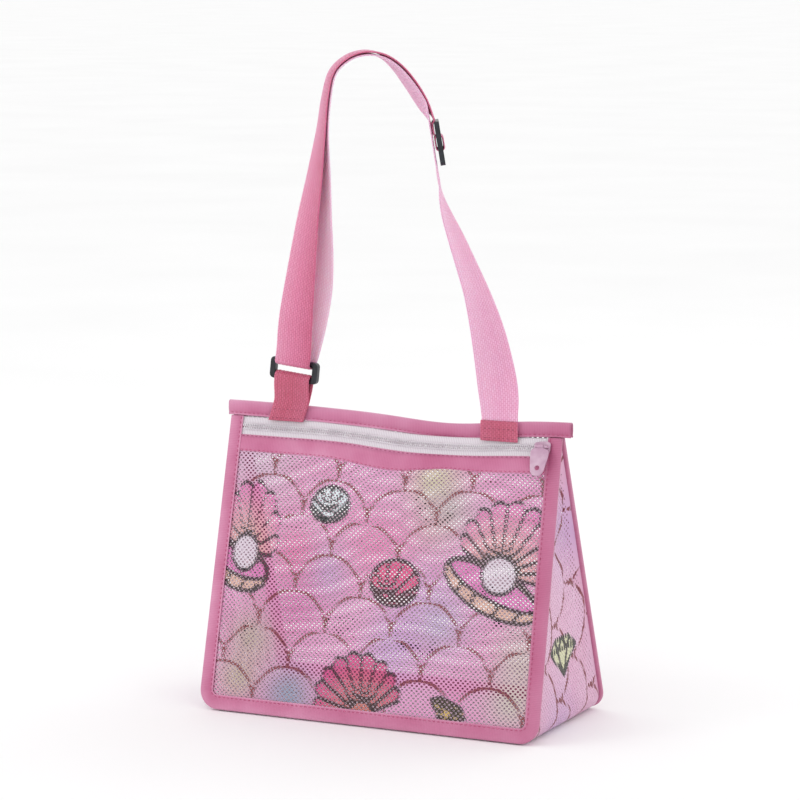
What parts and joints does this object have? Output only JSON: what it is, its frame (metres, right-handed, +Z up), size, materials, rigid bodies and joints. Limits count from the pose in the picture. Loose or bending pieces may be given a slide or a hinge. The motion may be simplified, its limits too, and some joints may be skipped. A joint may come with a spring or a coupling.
{
  "type": "beach bag",
  "caption": "Wedge-shaped mesh bag with bound edges, a zip across the front and an adjustable webbing shoulder strap on a rectangular ring and a tri-glide.",
  "frame": {"origin": "on the surface the bag stands on, under the middle of its bottom", "axes": "+Z up along the standing strap, +X along the zip to the wearer's left when worn with the zip outwards, -Y towards the zipped front"},
  "size_m": [0.241, 0.113, 0.4223],
  "materials": {
    "mesh_fabric": "printed knitted mesh, matt",
    "binding": "woven binding tape, soft sheen",
    "webbing": "ribbed woven webbing",
    "zip_tape": "fine woven tape, matt",
    "zip_coil": "nylon coil, satin",
    "slider": "moulded, satin",
    "pull": "moulded, milky satin",
    "hardware": "moulded, glossy black"
  },
  "bodies": {
    "bag": {"top_binding": "binding", "back_panel": "mesh_fabric", "back_binding": "binding", "gusset_left": "mesh_fabric", "gusset_bottom": "mesh_fabric", "gusset_right": "mesh_fabric", "strap_tab_left": "webbing", "strap_tab_right": "webbing"},
    "front": {"front_panel": "mesh_fabric", "front_binding": "binding", "zip_hem": "binding", "zip_tape_upper": "zip_tape", "zip_tape_lower": "zip_tape", "zip_coil_upper": "zip_coil", "zip_coil_lower": "zip_coil"},
    "slider": {"zip_slider": "slider"},
    "pull": {"zip_pull": "pull"},
    "strap": {"chape_loop": "webbing", "shoulder_strap": "webbing"},
    "ring": {"rect_ring": "hardware"},
    "glide": {"triglide": "hardware", "strap_end_loop": "webbing"}
  },
  "joints": [
    {"name": "front_fold", "type": "hinge", "parent": "bag", "child": "front", "pos_m": [0, -0.0015, 0.184], "axis": [1, 0, 0], "range_deg": [0, 32], "deforming": ["gusset_left", "gusset_bottom", "gusset_right"]},
    {"name": "zip_travel", "type": "slide", "parent": "front", "child": "slider", "axis": [1, 0, 0], "range_m": [-0.202, 0]},
    {"name": "pull_lift", "type": "hinge", "parent": "slider", "child": "pull", "pos_m": [0.101, -0.00828, 0.17901], "axis": [-1, 0, 0], "range_deg": [0, 165]},
    {"name": "strap_swing", "type": "hinge", "parent": "bag", "child": "strap", "pos_m": [0, -0.0034, 0.1954], "axis": [1, 0, 0], "range_deg": [-78, 110]},
    {"name": "ring_tilt", "type": "hinge", "parent": "strap", "child": "ring", "pos_m": [-0.07407, -0.0034, 0.21091], "axis": [0.9945, 0, -0.1045], "range_deg": [-3, 3]},
    {"name": "glide_slide", "type": "slide", "parent": "strap", "child": "glide", "axis": [0.145, 0.0695, -0.987], "range_m": [0, 0.014]}
  ]
}
